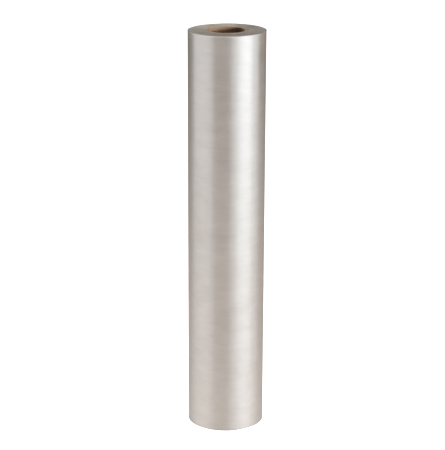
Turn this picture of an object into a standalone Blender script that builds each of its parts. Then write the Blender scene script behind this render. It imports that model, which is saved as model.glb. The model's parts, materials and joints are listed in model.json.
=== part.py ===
"""Silver metal foil tape, wound on a spiral paperboard core and standing on end.

The roll's axis is +Z and its foot is at z = 0.  The core is five paperboard plies, each one strip
wound as a helix.  The tape is two sheets wound together as one spiral: a foil outside and its
release liner inside.  Both sheets end in a tail behind the roll.  The tail lifts off the roll on
one vertical crease, and the foil peels off the liner on the same crease.
"""

import math

import bpy

# Driving dimensions, in metres
ROLL_HEIGHT = 0.3048
ROLL_RADIUS = 0.029
BORE_RADIUS = 0.0135

# Core: the strips butt edge to edge, and the seams of neighbouring plies are staggered
PLY_COUNT = 5
PLY_THICKNESS = 0.00038
PLY_GLUE_LINE = 0.00015
PLY_SEAM = 0.0003
PLY_STEPS_PER_TURN = 32
PLY_STEPS_IN_HEIGHT = 124
PLY_MIN_POINT = 0.002

# Start tape: the adhesive strip between the core and the tape's first turn
START_TAPE_INNER_RADIUS = 0.0162
START_TAPE_THICKNESS = 0.0002
START_TAPE_ARC = 70

# Wound tape: each modelled turn stands for several real ones
TAPE_START_RADIUS = 0.0166
TAPE_TURNS = 12
SHEET_GAP = 0.00015
TAPE_STEP = 5  # degrees between two stations

# Each turn is round, and climbs onto the one below it over a short stretch behind the roll
TAPE_INNER_END = 140  # degrees from +X, seen from above
CLIMB_ARC = 40
TAIL_ARC = 50
CREASE_GAP = 0.0003

# Worked out from the above
PLY_LEAD = ROLL_HEIGHT * PLY_STEPS_PER_TURN / PLY_STEPS_IN_HEIGHT
TAPE_PITCH = (ROLL_RADIUS - TAPE_START_RADIUS + SHEET_GAP) / TAPE_TURNS
SHEET_THICKNESS = TAPE_PITCH / 2 - SHEET_GAP
TAIL_END = 360 * TAPE_TURNS - CLIMB_ARC  # degrees of tape from its inner end
CREASE = TAIL_END - TAIL_ARC
LINER_RISE = 0.0
FOIL_RISE = SHEET_THICKNESS + SHEET_GAP


def clear_scene():
    for old in list(bpy.data.objects):
        bpy.data.objects.remove(old, do_unlink=True)


def new_material(name, colour, roughness, metallic=0.0):
    material = bpy.data.materials.new(name)
    material.use_nodes = True
    shader = material.node_tree.nodes["Principled BSDF"]
    shader.inputs["Base Color"].default_value = (*colour, 1.0)
    shader.inputs["Roughness"].default_value = roughness
    shader.inputs["Metallic"].default_value = metallic
    return material


def strip_mesh(name, stations, origin):
    """A closed thin strip through its stations: (degrees, inner radius, outer radius, low z, high z)."""
    corners, faces = [], []
    for degrees, inner, outer, low, high in stations:
        c, s = math.cos(math.radians(degrees)), math.sin(math.radians(degrees))
        for radius, z in ((inner, low), (outer, low), (outer, high), (inner, high)):
            corners.append((radius * c - origin[0], radius * s - origin[1], z - origin[2]))
    last = 4 * (len(stations) - 1)
    for here in range(0, last, 4):
        there = here + 4
        for side in range(4):
            beside = (side + 1) % 4
            faces.append((here + side, there + side, there + beside, here + beside))
    faces.append((0, 1, 2, 3))
    faces.append((last + 3, last + 2, last + 1, last))
    mesh = bpy.data.meshes.new(name)
    mesh.from_pydata(corners, [], faces)
    mesh.shade_smooth()
    mesh.set_sharp_from_angle(angle=math.radians(35))
    return mesh


def add_strip(name, stations, material, parent=None):
    """An object made of one strip.  Under a parent empty, its origin is on that empty's axis."""
    origin = parent.matrix_world.translation if parent else (0.0, 0.0, 0.0)
    piece = bpy.data.objects.new(name, strip_mesh(name, stations, origin))
    piece.data.materials.append(material)
    piece.parent = parent
    bpy.context.collection.objects.link(piece)
    return piece


def add_axis(name, position, parent=None):
    axis = bpy.data.objects.new(name, None)
    axis.location = position
    axis.parent = parent
    bpy.context.collection.objects.link(axis)
    bpy.context.view_layer.update()
    return axis


def ply_stations(inner, shift):
    """One helical ply, cut off level at the foot and the top of the core.

    shift moves the seam round the core, in steps.  The two ends of the strip run out to a point,
    which is cut blunt.
    """
    rise = ROLL_HEIGHT / PLY_STEPS_IN_HEIGHT
    stations = []
    for step in range(-2 * PLY_STEPS_PER_TURN, PLY_STEPS_IN_HEIGHT + PLY_STEPS_PER_TURN):
        edge = (step - shift) * rise
        low, high = max(0.0, edge), min(ROLL_HEIGHT, edge + PLY_LEAD - PLY_SEAM)
        if high - low >= PLY_MIN_POINT:
            degrees = step * 360 / PLY_STEPS_PER_TURN
            stations.append((degrees, inner, inner + PLY_THICKNESS, low, high))
    return stations


def add_core():
    liner = new_material("core_liner_board", (0.20, 0.115, 0.066), 0.85)
    grey_board = new_material("core_body_board", (0.36, 0.29, 0.22), 0.9)
    names = ["core_liner_ply"]
    names += [f"core_body_ply_{i}" for i in range(1, PLY_COUNT - 1)]
    names += ["core_wrap_ply"]
    for i, name in enumerate(names):
        inner = BORE_RADIUS + i * (PLY_THICKNESS + PLY_GLUE_LINE)
        shift = i * PLY_STEPS_PER_TURN // PLY_COUNT
        add_strip(name, ply_stations(inner, shift), grey_board if i else liner)


def add_start_tape():
    outer = START_TAPE_INNER_RADIUS + START_TAPE_THICKNESS
    stations = [
        (TAPE_INNER_END + turn, START_TAPE_INNER_RADIUS, outer, 0.0, ROLL_HEIGHT)
        for turn in range(0, START_TAPE_ARC + 1, TAPE_STEP)
    ]
    add_strip("core_start_tape", stations, new_material("start_tape", (0.75, 0.70, 0.55), 0.5))


def climb(turned):
    """How many pitches the tape has climbed after this many degrees from its inner end."""
    turns, within = divmod(turned, 360)
    x = max(0.0, (within - 360 + CLIMB_ARC) / CLIMB_ARC)
    return turns + x * x * (3 - 2 * x)


def sheet_stations(first, last, rise):
    """A sheet of the tape between two places along it.  rise is its height above the turn below."""
    inside = [d for d in range(0, TAIL_END + 1, TAPE_STEP) if first < d < last]
    stations = []
    for turned in (first, *inside, last):
        inner = TAPE_START_RADIUS + TAPE_PITCH * climb(turned) + rise
        outer = inner + SHEET_THICKNESS
        stations.append((TAPE_INNER_END + turned, inner, outer, 0.0, ROLL_HEIGHT))
    return stations


def add_tape():
    foil = new_material("silver_foil", (0.72, 0.71, 0.69), 0.32, 1.0)
    paper = new_material("release_paper", (0.62, 0.56, 0.46), 0.7)
    half_gap = math.degrees(CREASE_GAP / 2 / ROLL_RADIUS)
    add_strip("foil_web", sheet_stations(0, CREASE - half_gap, FOIL_RISE), foil)
    add_strip("release_liner_web", sheet_stations(0, CREASE - half_gap, LINER_RISE), paper)

    azimuth = math.radians(TAPE_INNER_END + CREASE)
    crease = (ROLL_RADIUS * math.cos(azimuth), ROLL_RADIUS * math.sin(azimuth), ROLL_HEIGHT / 2)
    lift_axis = add_axis("tail_lift_axis", crease)
    peel_axis = add_axis("foil_peel_axis", (0.0, 0.0, 0.0), lift_axis)
    liner_tail = sheet_stations(CREASE + half_gap, TAIL_END, LINER_RISE)
    foil_tail = sheet_stations(CREASE + half_gap, TAIL_END, FOIL_RISE)
    add_strip("release_liner_tail", liner_tail, paper, lift_axis)
    add_strip("foil_tail", foil_tail, foil, peel_axis)


def main():
    clear_scene()
    add_core()
    add_start_tape()
    add_tape()


main()
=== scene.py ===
"""Looks for the silver foil tape roll: the wound sheets at their real pitch, the paperboard core ply
by ply, procedural materials and a plain studio.  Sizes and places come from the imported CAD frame.
"""
import json
import math

import bpy
import numpy as np
from mathutils import Matrix, Vector, noise


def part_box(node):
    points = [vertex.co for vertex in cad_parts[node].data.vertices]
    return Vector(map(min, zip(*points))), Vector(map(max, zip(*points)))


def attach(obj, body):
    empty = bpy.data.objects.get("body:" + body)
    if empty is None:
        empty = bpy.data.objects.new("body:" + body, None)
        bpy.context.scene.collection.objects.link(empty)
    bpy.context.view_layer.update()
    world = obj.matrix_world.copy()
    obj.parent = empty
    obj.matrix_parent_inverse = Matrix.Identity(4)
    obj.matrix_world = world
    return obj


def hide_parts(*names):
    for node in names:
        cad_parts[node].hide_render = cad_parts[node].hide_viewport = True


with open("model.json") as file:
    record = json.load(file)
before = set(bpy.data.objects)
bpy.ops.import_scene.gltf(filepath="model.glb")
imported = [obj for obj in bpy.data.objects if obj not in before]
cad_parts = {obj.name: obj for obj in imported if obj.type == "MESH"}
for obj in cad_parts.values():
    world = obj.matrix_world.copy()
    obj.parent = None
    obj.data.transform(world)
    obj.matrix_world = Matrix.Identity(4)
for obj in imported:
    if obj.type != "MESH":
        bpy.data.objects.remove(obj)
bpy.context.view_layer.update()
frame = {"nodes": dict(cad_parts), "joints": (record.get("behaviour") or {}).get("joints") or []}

# ---------------------------------------------------------------- sizes, in metres and degrees


def node_radii(name):
    """Smallest and largest distance of a CAD node's corners from the roll's axis."""
    radii = [math.hypot(v.co.x, v.co.y) for v in frame["nodes"][name].data.vertices]
    return min(radii), max(radii)


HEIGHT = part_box("foil_web")[1].z
ROLL_RADIUS = node_radii("foil_web")[1]
BORE_RADIUS = node_radii("core_liner_ply")[0]
CORE_RADIUS = node_radii("core_wrap_ply")[1]
CREASE_POINT = Vector(frame["joints"][0]["pos_m"])
CREASE_AZIMUTH = math.degrees(math.atan2(CREASE_POINT.y, CREASE_POINT.x))

# The tape: real thicknesses, stations per turn, and the room left outside for the outer turns' waves
FOIL_THICKNESS = 0.00005
LINER_THICKNESS = 0.00008
FILM_GAP = 0.00002
TURNS = 80
TURN_STEPS = 120
OUTER_TURNS = 1.25
OUTER_STEPS = 360
TAIL_STEPS = 60
SEAM_GAP = 0.00002
LOOSE_ROOM = 0.00008

# The start tape, which stops a little short of the top end
START_TAPE_THICKNESS = 0.00008
START_TAPE_ARC = 70
START_TAPE_STEPS = 59
START_TAPE_SHORT = 0.0002

# How far a turn's cut edges lie proud or shy of its neighbours', and the outer turns' waves
SHIFT_OVER_TURNS = 0.00016
SHIFT_TURN_TO_TURN = 0.00007
SHIFT_ALONG = 0.00004
SHIFT_PROUD_MAX = 0.0001
SETTLED_BELOW_TOP = 0.00012
SETTLING_DEGREES = 1200
WAVE_RISE = 0.00003
RIPPLE_RISE = 0.00004
ROLLED_RISE = 0.00008
CREASE_REACH = 0.003

# The core: plies of strip board, wound as helices, whose strips run out to a blunt point at both ends
PLY_NAMES = ["core_liner_ply", "core_body_ply_1", "core_body_ply_2", "core_body_ply_3", "core_wrap_ply"]
PLY_STEPS = 120
PLY_TURNS = 3.875
PLY_GAP = 0.00003
PLY_SEAM = 0.00018
PLY_EDGE = 0.00007
PLY_MIN_POINT = 0.0012
PLY_CUT_RISE = 0.00006
PLY_CUT_SHY = 0.00005

CORE_PITCH = (CORE_RADIUS - BORE_RADIUS) / len(PLY_NAMES)
FOIL_RISE = LINER_THICKNESS + FILM_GAP
TAPE_START = CORE_RADIUS + START_TAPE_THICKNESS + 2 * FILM_GAP
TAPE_PITCH = (ROLL_RADIUS - LOOSE_ROOM - FOIL_RISE - FOIL_THICKNESS - TAPE_START) / TURNS


def tail_arc():
    """Degrees of tape behind the crease, read off the CAD tail."""
    turned = [
        (math.degrees(math.atan2(v.co.y, v.co.x)) - CREASE_AZIMUTH) % 360
        for v in frame["nodes"]["foil_tail"].data.vertices
    ]
    return max(turned)


TAIL_ARC = tail_arc()
TAPE_DEGREES = 360 * TURNS
CREASE_DEGREES = TAPE_DEGREES - TAIL_ARC


# ---------------------------------------------------------------- meshes


def wander(place, scale, seed):
    """Smooth noise from -1 to 1 along a line."""
    return noise.noise(Vector((place / scale, 17.3 * seed, 4.1)))


def loop_mesh(name, loops, coords, slots):
    """A closed solid through rings of points.

    loops[i][k] is the k-th point round the cross-section at station i, coords[i][k] its place on the
    sheet for the materials, and slots[k] the material slot of the side between points k and k + 1.
    """
    loops = np.asarray(loops, float)
    stations, ring = loops.shape[:2]
    here = np.arange(stations * ring).reshape(stations, ring)
    beside = np.roll(here, -1, axis=1)
    sides = np.stack([here[:-1], here[1:], beside[1:], beside[:-1]], axis=-1).reshape(-1, 4)
    faces = sides.tolist() + [here[0].tolist(), here[-1][::-1].tolist()]
    mesh = bpy.data.meshes.new(name)
    mesh.from_pydata(loops.reshape(-1, 3).tolist(), [], faces)
    side_slots = np.tile(np.asarray(slots), stations - 1)
    mesh.polygons.foreach_set("material_index", np.append(side_slots, [max(slots)] * 2))
    place = mesh.attributes.new("sheet", "FLOAT_VECTOR", "POINT")
    place.data.foreach_set("vector", np.asarray(coords, np.float32).reshape(-1))
    mesh.shade_smooth()
    mesh.set_sharp_from_angle(angle=math.radians(40))
    return mesh


def add_piece(name, mesh, materials, body, slot, *replaced):
    piece = bpy.data.objects.new(name, mesh)
    for material in materials:
        mesh.materials.append(material)
    bpy.context.scene.collection.objects.link(piece)
    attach(piece, body)
    if replaced:
        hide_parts(*replaced)
    return piece


def tape_radius(turned):
    """Inner radius of the tape after this many degrees from its inner end."""
    return TAPE_START + TAPE_PITCH * turned / 360


def tape_azimuth(turned):
    return math.radians(CREASE_AZIMUTH + turned - CREASE_DEGREES)


def tape_length(turned):
    """Metres of tape from its inner end."""
    return math.radians(turned) * (TAPE_START + TAPE_PITCH * turned / 720)


def end_heights(length, turned):
    """Where the tape's two cut edges lie: turns sit a little proud or shy of each other."""
    turn = turned / 360
    slow = SHIFT_OVER_TURNS * wander(turn, 5.0, 1) + SHIFT_TURN_TO_TURN * wander(turn, 1.3, 2)
    quick = SHIFT_ALONG * wander(length, 0.03, 3)
    settle = min(1.0, (TAPE_DEGREES - turned) / SETTLING_DEGREES)
    shift = (slow + quick) * settle
    return max(0.0, shift), HEIGHT - SETTLED_BELOW_TOP * settle + min(SHIFT_PROUD_MAX, shift)


def sheet_loops(first, last, steps, rise, thickness, levels, swell):
    """Rings round the sheet's cross-section between two places along the tape.

    levels are places across the sheet, from 0 at its lower cut edge to 1 at its upper one.  swell(length, z)
    lifts the sheet off the turn below, and is never negative.
    """
    loops, coords = [], []
    for turned in np.linspace(first, last, steps + 1):
        azimuth, length = tape_azimuth(turned), tape_length(turned)
        low, high = end_heights(length, turned)
        inner = tape_radius(turned) + rise
        c, s = math.cos(azimuth), math.sin(azimuth)
        loop, coord = [], []
        zs = [low + (high - low) * level for level in levels]
        for depth, heights in ((0.0, zs[::-1]), (thickness, zs)):
            for z in heights:
                radius = inner + depth + swell(length, z)
                loop.append((radius * c, radius * s, z))
                coord.append((length, z, radius))
        loops.append(loop)
        coords.append(coord)
    return loops, coords


def flat_swell(length, z):
    return 0.0


def edge_distance(z):
    return min(z, HEIGHT - z)


def outer_swell(length, z):
    """The outer turns lie a little loose: long soft waves, finer ones by the cut edges, and a rolled rim.

    The finer waves and the rim fade out at the crease, so that the tail swings clear of the roll.
    """
    broad = WAVE_RISE * (1 + noise.noise(Vector((length / 0.05, z / 0.09, 1.7))))
    edge = edge_distance(z)
    by_crease = min(1.0, abs(length - tape_length(CREASE_DEGREES)) / CREASE_REACH)
    frayed = math.exp(-edge / 0.0016)
    ripple = RIPPLE_RISE * frayed * (1 + noise.noise(Vector((length / 0.0045, 2.2, z / 0.15))))
    rolled = ROLLED_RISE * math.exp(-edge / 0.00018)
    return broad + (ripple + rolled) * by_crease


def sheet_slots(levels):
    """Slot 0 for the two faces of a sheet, slot 1 for its cut edges."""
    faces = [0] * (len(levels) - 1)
    return faces + [1] + faces + [1]


def outer_levels():
    """Cut edges get close levels, for the rolled and rippled rim, and the middle gets even ones."""
    near = [0.0, 0.0001, 0.0002, 0.0004, 0.0007, 0.0012, 0.002, 0.0032, 0.005]
    near = [d / HEIGHT for d in near]
    middle = np.linspace(near[-1], 1 - near[-1], 61)[1:-1]
    return near + list(middle) + [1 - d for d in reversed(near)]


# ---------------------------------------------------------------- material helpers


class Nodes:
    """Short calls for building one material's node tree."""

    def __init__(self, name):
        self.material = bpy.data.materials.new(name)
        self.material.use_nodes = True
        self.tree = self.material.node_tree
        self.shader = self.tree.nodes["Principled BSDF"]

    def new(self, kind, **settings):
        node = self.tree.nodes.new(kind)
        for key, value in settings.items():
            setattr(node, key, value)
        return node

    def link(self, source, target):
        self.tree.links.new(source, target)

    def sheet(self, scale):
        """Places on the sheet (along, across, through), stretched by scale."""
        attribute = self.new("ShaderNodeAttribute", attribute_name="sheet")
        mapping = self.new("ShaderNodeMapping")
        mapping.inputs["Scale"].default_value = scale
        self.link(attribute.outputs["Vector"], mapping.inputs["Vector"])
        return mapping.outputs["Vector"]

    def noise(self, vector, scale=1.0, detail=3.0, roughness=0.5):
        node = self.new("ShaderNodeTexNoise")
        node.inputs["Scale"].default_value = scale
        node.inputs["Detail"].default_value = detail
        node.inputs["Roughness"].default_value = roughness
        self.link(vector, node.inputs["Vector"])
        return node.outputs["Fac"]

    def ramp(self, value, *stops):
        """stops are (position, grey or colour)."""
        node = self.new("ShaderNodeValToRGB")
        elements = node.color_ramp.elements
        while len(elements) < len(stops):
            elements.new(0.5)
        for element, (position, colour) in zip(elements, stops):
            element.position = position
            grey = (colour, colour, colour) if isinstance(colour, float) else colour
            element.color = (*grey, 1.0)
        self.link(value, node.inputs["Fac"])
        return node.outputs["Color"]

    def remap(self, value, low, high, from_low=0.0, from_high=1.0):
        node = self.new("ShaderNodeMapRange")
        numbers = {"From Min": from_low, "From Max": from_high, "To Min": low, "To Max": high}
        for name, number in numbers.items():
            node.inputs[name].default_value = number
        self.link(value, node.inputs["Value"])
        return node.outputs["Result"]

    def mix(self, factor, one, other, blend="MIX"):
        node = self.new("ShaderNodeMix", data_type="RGBA", blend_type=blend)
        for socket, value in ((node.inputs[0], factor), (node.inputs[6], one), (node.inputs[7], other)):
            if isinstance(value, bpy.types.NodeSocket):
                self.link(value, socket)
            else:
                socket.default_value = value if isinstance(value, float) else (*value, 1.0)
        return node.outputs[2]

    def add(self, one, other, weight=1.0):
        node = self.new("ShaderNodeMath", operation="MULTIPLY_ADD")
        node.inputs[1].default_value = weight
        self.link(other, node.inputs[0])
        self.link(one, node.inputs[2])
        return node.outputs[0]

    def bump(self, height, distance, strength=1.0, normal=None):
        node = self.new("ShaderNodeBump")
        node.inputs["Distance"].default_value = distance
        node.inputs["Strength"].default_value = strength
        self.link(height, node.inputs["Height"])
        if normal is not None:
            self.link(normal, node.inputs["Normal"])
        return node.outputs["Normal"]

    def finish(self, **sockets):
        """Connects or sets the shader's own inputs, written with _ for a space."""
        for key, value in sockets.items():
            socket = self.shader.inputs[key.replace("_", " ")]
            if isinstance(value, bpy.types.NodeSocket):
                self.link(value, socket)
            else:
                socket.default_value = value
        return self.material


# ---------------------------------------------------------------- materials


def foil_face():
    """Satin rolled foil: rolling lines run along the tape, over short streaks and a soft cloudy sheen."""
    n = Nodes("silver_foil_face")
    lines = n.noise(n.sheet((18, 1500, 1)), detail=4, roughness=0.6)
    streaks = n.noise(n.sheet((75, 420, 1)), detail=3, roughness=0.6)
    cloud = n.noise(n.sheet((45, 75, 1)), detail=5, roughness=0.6)
    grain = n.noise(n.sheet((1500, 2600, 1)), detail=2, roughness=0.5)
    tone = n.ramp(cloud, (0.3, (0.69, 0.675, 0.655)), (0.7, (0.79, 0.78, 0.76)))
    tone = n.mix(0.3, tone, n.ramp(streaks, (0.3, 0.56), (0.7, 0.84)), "SOFT_LIGHT")
    roughness = n.add(n.remap(cloud, 0.36, 0.46, 0.3, 0.7), n.remap(lines, -0.03, 0.03, 0.3, 0.7))
    rolled = n.bump(n.add(lines, grain, 0.5), 0.000006)
    pressed = n.bump(n.add(streaks, cloud, 1.6), 0.00007, normal=rolled)
    across = n.new("ShaderNodeCombineXYZ")
    across.inputs["Z"].default_value = 1.0
    return n.finish(Base_Color=tone, Metallic=1.0, Roughness=roughness, Normal=pressed,
                    Anisotropic=0.8, Tangent=across.outputs[0])


def foil_edge():
    """The slit edge of the foil: duller and darker than its face, from the knife."""
    n = Nodes("silver_foil_edge")
    nicks = n.noise(n.sheet((900, 900, 4000)), detail=3)
    rings = n.noise(n.sheet((3, 3, 5200)), detail=2)
    tone = n.mix(0.5, n.ramp(nicks, (0.3, 0.34), (0.7, 0.66)), n.ramp(rings, (0.35, 0.38), (0.65, 0.62)))
    return n.finish(Base_Color=tone, Metallic=0.5, Roughness=n.remap(nicks, 0.45, 0.65))


def liner_paper():
    """Release paper: pale kraft with a smooth coat on one side and short fibres."""
    n = Nodes("release_paper_face")
    fibres = n.noise(n.sheet((700, 2400, 1)), detail=4, roughness=0.65)
    blotch = n.noise(n.sheet((90, 120, 1)), detail=3)
    tone = n.ramp(fibres, (0.3, (0.50, 0.44, 0.35)), (0.72, (0.64, 0.58, 0.48)))
    tone = n.mix(n.remap(blotch, 0.0, 0.35, 0.35, 0.75), tone, (0.47, 0.41, 0.32))
    normal = n.bump(fibres, 0.00001, 0.6)
    return n.finish(Base_Color=tone, Roughness=n.remap(blotch, 0.42, 0.58), Normal=normal)


def liner_edge():
    n = Nodes("release_paper_edge")
    rings = n.noise(n.sheet((4, 4, 4200)), detail=3)
    dust = n.noise(n.sheet((1500, 1500, 1500)), detail=2)
    tone = n.ramp(rings, (0.3, (0.34, 0.32, 0.28)), (0.7, (0.49, 0.465, 0.42)))
    tone = n.mix(n.remap(dust, 0.0, 0.4, 0.45, 0.8), tone, (0.56, 0.54, 0.50))
    return n.finish(Base_Color=tone, Roughness=0.85)


def kraft_board():
    """The brown liner of the core: kraft fibres, darker flecks and a slight press sheen."""
    n = Nodes("core_kraft_board")
    fibres = n.noise(n.sheet((260, 1500, 1)), detail=5, roughness=0.7)
    flecks = n.noise(n.sheet((1300, 3200, 1)), detail=2)
    blotch = n.noise(n.sheet((70, 50, 1)), detail=3)
    dark, mid, pale = (0.21, 0.122, 0.075), (0.295, 0.192, 0.127), (0.40, 0.29, 0.215)
    tone = n.ramp(fibres, (0.28, dark), (0.5, mid), (0.75, pale))
    tone = n.mix(n.remap(flecks, 0.0, 0.6, 0.58, 0.75), tone, (0.11, 0.055, 0.03))
    tone = n.mix(n.remap(blotch, 0.0, 0.4, 0.4, 0.8), tone, (0.23, 0.14, 0.085))
    normal = n.bump(n.add(fibres, flecks, 0.4), 0.00004, 0.7)
    return n.finish(Base_Color=tone, Roughness=n.remap(fibres, 0.72, 0.9), Normal=normal)


def chip_board(name, warm):
    """The core's inner plies, seen at the cut end: grey-brown recycled board with flecks."""
    n = Nodes(name)
    fibres = n.noise(n.sheet((900, 900, 2600)), detail=4, roughness=0.7)
    flecks = n.noise(n.sheet((2600, 2600, 5200)), detail=1)
    low = (0.30 * warm, 0.24, 0.19)
    high = (0.45 * warm, 0.37, 0.305)
    tone = n.ramp(fibres, (0.3, low), (0.7, high))
    tone = n.mix(n.remap(flecks, 0.0, 0.5, 0.6, 0.75), tone, (0.14, 0.10, 0.075))
    normal = n.bump(fibres, 0.00005, 0.8)
    return n.finish(Base_Color=tone, Roughness=0.9, Normal=normal)


def start_film():
    """Double-sided film between core and tape, faintly yellow."""
    n = Nodes("start_tape_film")
    haze = n.noise(n.sheet((300, 400, 1)), detail=3)
    tone = n.ramp(haze, (0.3, (0.60, 0.53, 0.36)), (0.7, (0.74, 0.68, 0.52)))
    return n.finish(Base_Color=tone, Roughness=n.remap(haze, 0.35, 0.5))


# ---------------------------------------------------------------- the core


def ply_section(inner, outer, low, high):
    """Cross-section of a strip of board, its corners eased by the knife."""
    ease = min(PLY_EDGE, (high - low) / 4)
    return [
        (inner, low + ease),
        (inner + ease, low),
        (outer - ease, low),
        (outer, low + ease),
        (outer, high - ease),
        (outer - ease, high),
        (inner + ease, high),
        (inner, high - ease),
    ]


def ply_mesh(name, inner, outer, shift):
    """A strip wound as a helix whose edges butt, cut off level at both ends of the core."""
    lead = HEIGHT / PLY_TURNS
    rise = lead / PLY_STEPS
    loops, coords = [], []
    for step in range(-PLY_STEPS * 2, int(PLY_STEPS * (PLY_TURNS + 1.5))):
        edge = (step - shift * PLY_STEPS) * rise
        low, high = max(0.0, edge), min(HEIGHT, edge + lead - PLY_SEAM)
        if high - low < PLY_MIN_POINT:
            continue
        turned = math.radians(step * 360 / PLY_STEPS)
        cut = PLY_CUT_RISE * noise.noise(Vector((math.cos(turned) * 6, math.sin(turned) * 6, inner * 4000)))
        if high == HEIGHT:
            high += min(0.0, cut - PLY_CUT_SHY)
        length = turned * outer
        section = ply_section(inner, outer, low, high)
        loops.append([(r * math.cos(turned), r * math.sin(turned), z) for r, z in section])
        # along and across the strip, which runs at the helix's angle
        slope = math.atan2(lead, 2 * math.pi * outer)
        along = [length * math.cos(slope) + z * math.sin(slope) for _, z in section]
        across = [z * math.cos(slope) - length * math.sin(slope) for _, z in section]
        coords.append([(a, b, r) for a, b, (r, _) in zip(along, across, section)])
    return loop_mesh(name, loops, coords, [1, 1, 1, 0, 1, 1, 1, 0])


def add_core():
    kraft, kraft_cut = kraft_board(), chip_board("core_kraft_cut", 1.08)
    chip = chip_board("core_chip_board", 1.0)
    for i, node in enumerate(PLY_NAMES):
        inner = BORE_RADIUS + i * CORE_PITCH
        mesh = ply_mesh(node.replace("ply", "strip"), inner, inner + CORE_PITCH - PLY_GAP, 0.2 + 0.2 * i)
        if i == 0:
            add_piece(mesh.name, mesh, [kraft, kraft_cut], "roll", "core_liner_board", node)
        else:
            add_piece(mesh.name, mesh, [chip, chip], "roll", "core_body_board", node)


# ---------------------------------------------------------------- the tape


def add_sheet(name, first, last, steps, rise, thickness, levels, swell, materials, body, slot, *replaced):
    loops, coords = sheet_loops(first, last, steps, rise, thickness, levels, swell)
    mesh = loop_mesh(name, loops, coords, sheet_slots(levels))
    return add_piece(name, mesh, materials, body, slot, *replaced)


def add_tape():
    foil = [foil_face(), foil_edge()]
    liner = [liner_paper(), liner_edge()]
    ends = [0.0, 1.0]
    outer_start = CREASE_DEGREES - 360 * OUTER_TURNS
    seam = math.degrees(SEAM_GAP / 2 / ROLL_RADIUS)
    steps = int(outer_start / 360 * TURN_STEPS)
    add_sheet("foil_turns", 0, outer_start, steps, FOIL_RISE, FOIL_THICKNESS, ends, flat_swell,
              foil, "roll", "silver_foil", "foil_web")
    add_sheet("liner_turns", 0, CREASE_DEGREES - seam, steps, 0, LINER_THICKNESS, ends, flat_swell,
              liner, "roll", "release_paper", "release_liner_web")
    levels = outer_levels()
    add_sheet("foil_outer_turn", outer_start + seam, CREASE_DEGREES - seam, int(OUTER_STEPS * OUTER_TURNS),
              FOIL_RISE, FOIL_THICKNESS, levels, outer_swell, foil, "roll", "silver_foil")
    tail = CREASE_DEGREES + seam, TAPE_DEGREES
    add_sheet("foil_tail_sheet", *tail, TAIL_STEPS, FOIL_RISE, FOIL_THICKNESS, levels, outer_swell,
              foil, "foil_tail", "silver_foil", "foil_tail")
    add_sheet("liner_tail_sheet", *tail, TAIL_STEPS, 0, LINER_THICKNESS, ends, flat_swell,
              liner, "liner_tail", "release_paper", "release_liner_tail")


def add_start_tape():
    """A strip of film between the core and the tape's inner end."""
    inner = CORE_RADIUS + FILM_GAP
    outer = inner + START_TAPE_THICKNESS
    top = HEIGHT - START_TAPE_SHORT
    section = [(inner, 0.0), (outer, 0.0), (outer, top), (inner, top)]
    loops, coords = [], []
    for turned in np.linspace(0, START_TAPE_ARC, START_TAPE_STEPS + 1):
        azimuth = tape_azimuth(0) + math.radians(turned)
        loops.append([(r * math.cos(azimuth), r * math.sin(azimuth), z) for r, z in section])
        coords.append([(math.radians(turned) * r, z, r) for r, z in section])
    mesh = loop_mesh("start_tape_strip", loops, coords, [0, 0, 0, 0])
    add_piece("start_tape_strip", mesh, [start_film()], "roll", "start_tape", "core_start_tape")


# ---------------------------------------------------------------- studio

CAMERA_DISTANCE = 40.11 * ROLL_RADIUS
CAMERA_HEIGHT = 17.403 * ROLL_RADIUS
CAMERA_PITCH = 0.2912
CAMERA_YAW = -0.0024
CAMERA_ROLL = -0.0034
CAMERA_LENS = 128.4


def add_camera():
    data = bpy.data.cameras.new("camera")
    data.lens = CAMERA_LENS
    data.sensor_width = 36
    data.clip_start = 0.02
    data.clip_end = 60
    camera = bpy.data.objects.new("camera", data)
    turn = Matrix.Rotation(-CAMERA_YAW, 4, "Z") @ Matrix.Rotation(math.pi / 2 - CAMERA_PITCH, 4, "X")
    place = Matrix.Translation((0, -CAMERA_DISTANCE, CAMERA_HEIGHT))
    camera.matrix_world = place @ turn @ Matrix.Rotation(-CAMERA_ROLL, 4, "Z")
    bpy.context.scene.collection.objects.link(camera)
    bpy.context.scene.camera = camera


FLOOR_HALF = 12.0
FLOOR_DROP = 0.0001
FLOOR_GLOW = 1.3


def add_floor():
    """A pale floor that the camera sees as white.  It neither lights the roll nor shades it from the room."""
    half = FLOOR_HALF
    mesh = bpy.data.meshes.new("floor")
    corners = [(-half, -half, 0), (half, -half, 0), (half, half, 0), (-half, half, 0)]
    mesh.from_pydata(corners, [], [(0, 1, 2, 3)])
    n = Nodes("floor")
    coordinates = n.new("ShaderNodeTexCoord")
    speck = n.noise(coordinates.outputs["Object"], scale=900, detail=2)
    tone = n.ramp(speck, (0.2, 0.86), (0.8, 0.90))
    mesh.materials.append(n.finish(Base_Color=tone, Roughness=0.7, Specular_IOR_Level=0.2,
                                   Emission_Color=tone, Emission_Strength=FLOOR_GLOW))
    floor = bpy.data.objects.new("floor", mesh)
    floor.location.z = -FLOOR_DROP
    floor.visible_glossy = False
    floor.visible_diffuse = False
    floor.visible_shadow = False
    bpy.context.scene.collection.objects.link(floor)


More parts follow.
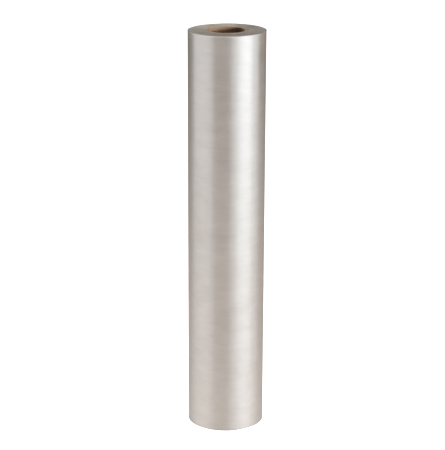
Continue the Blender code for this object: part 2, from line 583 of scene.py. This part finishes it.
# name, azimuth from the camera side (positive to the right), elevation, distance, width, height, power,
# colour and whether the foil mirrors it.  Mirrored ones aim at the middle of the roll: right and left of the
# camera, and a weak warm one behind.  The others aim at its top end: one from high up, a near one from behind
# and a low one that rakes into the bore.
COOL = (0.85, 0.935, 1.0)
NEUTRAL = (1.0, 0.98, 0.95)
WARM = (1.0, 0.77, 0.52)
LIGHTS = [
    ("right_wide", 58, 4, 1.5, 3.0, 0.3, 8.0, COOL, True),
    ("right_core", 54, 4, 1.5, 1.2, 0.3, 2.8, COOL, True),
    ("left_wide", -76, 4, 1.5, 2.2, 0.3, 3.7, COOL, True),
    ("right_back", 128, 20, 1.5, 1.5, 0.3, 1.2, WARM, True),
    ("high", 60, 62, 2.0, 1.6, 1.6, 20.5, NEUTRAL, False),
    ("near_back", -135, 35, 0.3, 0.12, 0.12, 0.68, NEUTRAL, False),
    ("low_rake", 45, 5, 1.2, 0.3, 0.1, 15, NEUTRAL, False),
]

# The room that the foil mirrors: dark above, lit from far below by the pale table, and a little darker on
# the camera's side.  ROOM_TOP and ROOM_FOOT are the z, and ROOM_SIDES the y, of the direction looked in.
ROOM_COLOUR = (1.0, 0.905, 0.84, 1.0)
ROOM_ABOVE = 0.06
ROOM_BELOW = 2.45
ROOM_TOP = -0.1
ROOM_FOOT = -0.9
ROOM_FRONT = 0.66
ROOM_SIDES = -0.2


def add_light(name, azimuth, elevation, distance, width, height, power, colour, mirrored):
    data = bpy.data.lights.new(name, "AREA")
    data.shape = "RECTANGLE"
    data.size, data.size_y = width, height
    data.energy = power
    data.color = colour
    light = bpy.data.objects.new(name, data)
    turned, raised = math.radians(azimuth), math.radians(elevation)
    target = Vector((0, 0, HEIGHT / 2 if mirrored else HEIGHT))
    level = math.cos(raised)
    away = Vector((math.sin(turned) * level, -math.cos(turned) * level, math.sin(raised)))
    light.location = target + away * distance
    light.rotation_euler = away.to_track_quat("Z", "Y").to_euler()
    light.visible_camera = False
    light.visible_glossy = mirrored
    bpy.context.scene.collection.objects.link(light)


def add_world():
    """A white backdrop for the camera, and a soft grey room for everything else."""
    world = bpy.data.worlds.new("studio")
    world.use_nodes = True
    nodes, links = world.node_tree.nodes, world.node_tree.links
    room = nodes["Background"]
    room.inputs["Color"].default_value = ROOM_COLOUR
    direction = nodes.new("ShaderNodeTexCoord")
    split = nodes.new("ShaderNodeSeparateXYZ")
    strength = nodes.new("ShaderNodeMath")
    strength.operation = "MULTIPLY"
    links.new(direction.outputs["Generated"], split.inputs[0])
    below_to_above = ("Z", ROOM_FOOT, ROOM_TOP, ROOM_BELOW, ROOM_ABOVE)
    front_to_sides = ("Y", -1.0, ROOM_SIDES, ROOM_FRONT, 1.0)
    for i, (axis, near, far, at_near, at_far) in enumerate((below_to_above, front_to_sides)):
        ramp = nodes.new("ShaderNodeMapRange")
        for name, number in (("From Min", near), ("From Max", far), ("To Min", at_near), ("To Max", at_far)):
            ramp.inputs[name].default_value = number
        links.new(split.outputs[axis], ramp.inputs["Value"])
        links.new(ramp.outputs["Result"], strength.inputs[i])
    links.new(strength.outputs[0], room.inputs["Strength"])
    backdrop = nodes.new("ShaderNodeBackground")
    backdrop.inputs["Color"].default_value = (1, 1, 1, 1)
    path, mix = nodes.new("ShaderNodeLightPath"), nodes.new("ShaderNodeMixShader")
    links.new(path.outputs["Is Camera Ray"], mix.inputs[0])
    links.new(room.outputs[0], mix.inputs[1])
    links.new(backdrop.outputs[0], mix.inputs[2])
    links.new(mix.outputs[0], nodes["World Output"].inputs["Surface"])
    bpy.context.scene.world = world


def add_studio():
    add_floor()
    for light in LIGHTS:
        add_light(*light)
    add_world()
    bpy.context.scene.view_settings.view_transform = "Standard"


add_core()
add_start_tape()
add_tape()
add_studio()
add_camera()
